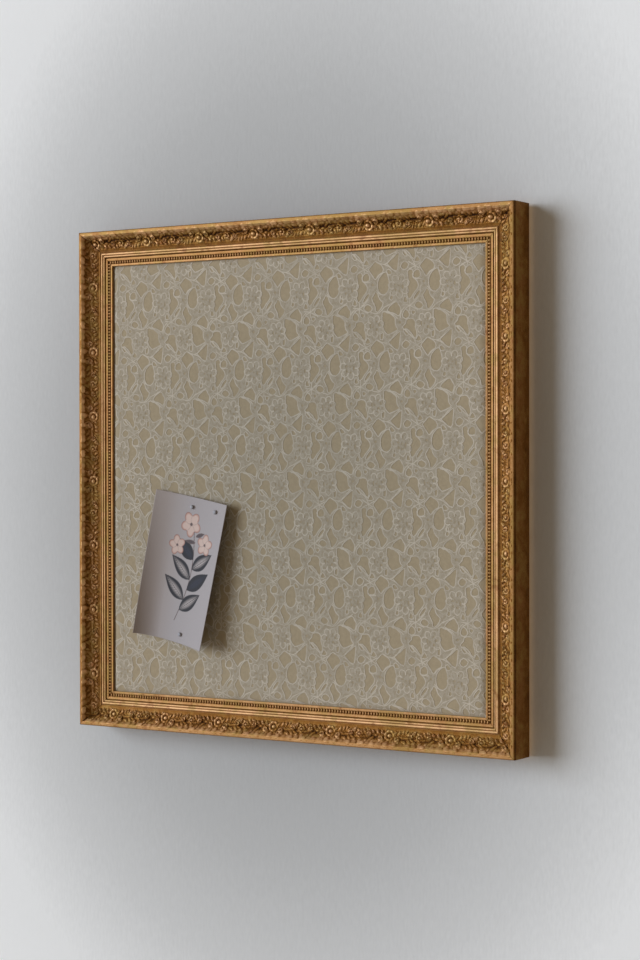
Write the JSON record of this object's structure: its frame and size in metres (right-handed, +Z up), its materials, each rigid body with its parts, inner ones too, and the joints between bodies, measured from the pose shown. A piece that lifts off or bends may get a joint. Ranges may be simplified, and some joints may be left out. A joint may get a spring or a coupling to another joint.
{
  "type": "pin board",
  "caption": "Square gilt moulded frame with a padded lace-covered panel that takes pins, turn-button back, sawtooth hanger and a pinned curled card.",
  "frame": {"origin": "nail seat of the sawtooth hanger, in the plane of the frame's back", "axes": "+X right and +Z up as seen from the front, +Y into the wall"},
  "size_m": [0.5, 0.0406, 0.5],
  "materials": {
    "gilt_moulding": "antique gilt over red-brown bole, satin",
    "gilt_ornament": "gilt pressed composition, dark toned in the hollows",
    "gilt_beading": "gilt pressed beads, satin",
    "lace": "cream floral lace",
    "cotton": "plain cream cotton",
    "wadding": "white fibre wadding",
    "softboard": "soft fibreboard",
    "hardboard": "brown hardboard",
    "brassed_plate": "brass-plated strip",
    "bright_steel": "zinc-plated steel",
    "felt": "dark felt",
    "card_stock": "smooth white card with a printed picture",
    "pin_steel": "grey steel"
  },
  "bodies": {
    "frame": {"rail_top": "gilt_moulding", "ornament_top": "gilt_ornament", "beading_top": "gilt_beading", "corner_nail_top": "bright_steel", "rail_right": "gilt_moulding", "ornament_right": "gilt_ornament", "beading_right": "gilt_beading", "corner_nail_right": "bright_steel", "rail_bottom": "gilt_moulding", "ornament_bottom": "gilt_ornament", "beading_bottom": "gilt_beading", "corner_nail_bottom": "bright_steel", "rail_left": "gilt_moulding", "ornament_left": "gilt_ornament", "beading_left": "gilt_beading", "corner_nail_left": "bright_steel", "lace_cover": "lace", "cotton_cover": "cotton", "wadding": "wadding", "softboard_core": "softboard", "backing_board": "hardboard", "button_screw_1": "bright_steel", "button_screw_2": "bright_steel", "button_screw_3": "bright_steel", "button_screw_4": "bright_steel", "button_screw_5": "bright_steel", "button_screw_6": "bright_steel", "button_screw_7": "bright_steel", "button_screw_8": "bright_steel", "sawtooth_hanger": "bright_steel", "hanger_nail_left": "bright_steel", "wall_bumper_left": "felt", "hanger_nail_right": "bright_steel", "wall_bumper_right": "felt"},
    "turn_button_1": {"turn_button_1": "brassed_plate"},
    "turn_button_2": {"turn_button_2": "brassed_plate"},
    "turn_button_3": {"turn_button_3": "brassed_plate"},
    "turn_button_4": {"turn_button_4": "brassed_plate"},
    "turn_button_5": {"turn_button_5": "brassed_plate"},
    "turn_button_6": {"turn_button_6": "brassed_plate"},
    "turn_button_7": {"turn_button_7": "brassed_plate"},
    "turn_button_8": {"turn_button_8": "brassed_plate"},
    "card": {"card": "card_stock"},
    "pin_1": {"pin_head_1": "pin_steel", "pin_needle_1": "pin_steel"},
    "pin_2": {"pin_head_2": "pin_steel", "pin_needle_2": "pin_steel"},
    "pin_3": {"pin_head_3": "pin_steel", "pin_needle_3": "pin_steel"}
  },
  "joints": [
    {"name": "button_turn_1", "type": "hinge", "parent": "frame", "child": "turn_button_1", "pos_m": [-0.13, 0.0009, -0.0031], "axis": [0, 1, 0], "continuous": true},
    {"name": "button_turn_2", "type": "hinge", "parent": "frame", "child": "turn_button_2", "pos_m": [0.13, 0.0009, -0.0031], "axis": [0, 1, 0], "continuous": true},
    {"name": "button_turn_3", "type": "hinge", "parent": "frame", "child": "turn_button_3", "pos_m": [0.2285, 0.0009, -0.1016], "axis": [0, 1, 0], "continuous": true},
    {"name": "button_turn_4", "type": "hinge", "parent": "frame", "child": "turn_button_4", "pos_m": [0.2285, 0.0009, -0.3616], "axis": [0, 1, 0], "continuous": true},
    {"name": "button_turn_5", "type": "hinge", "parent": "frame", "child": "turn_button_5", "pos_m": [0.13, 0.0009, -0.4601], "axis": [0, 1, 0], "continuous": true},
    {"name": "button_turn_6", "type": "hinge", "parent": "frame", "child": "turn_button_6", "pos_m": [-0.13, 0.0009, -0.4601], "axis": [0, 1, 0], "continuous": true},
    {"name": "button_turn_7", "type": "hinge", "parent": "frame", "child": "turn_button_7", "pos_m": [-0.2285, 0.0009, -0.3616], "axis": [0, 1, 0], "continuous": true},
    {"name": "button_turn_8", "type": "hinge", "parent": "frame", "child": "turn_button_8", "pos_m": [-0.2285, 0.0009, -0.1016], "axis": [0, 1, 0], "continuous": true},
    {"name": "card_lift", "type": "slide", "parent": "frame", "child": "card", "axis": [0, -1, 0], "range_m": [0, 0.03]},
    {"name": "pin_pull_1", "type": "slide", "parent": "card", "child": "pin_1", "axis": [0, -1, 0], "range_m": [0, 0.0135]},
    {"name": "pin_pull_2", "type": "slide", "parent": "card", "child": "pin_2", "axis": [0, -1, 0], "range_m": [0, 0.0135]},
    {"name": "pin_pull_3", "type": "slide", "parent": "card", "child": "pin_3", "axis": [0, -1, 0], "range_m": [0, 0.0135]}
  ]
}
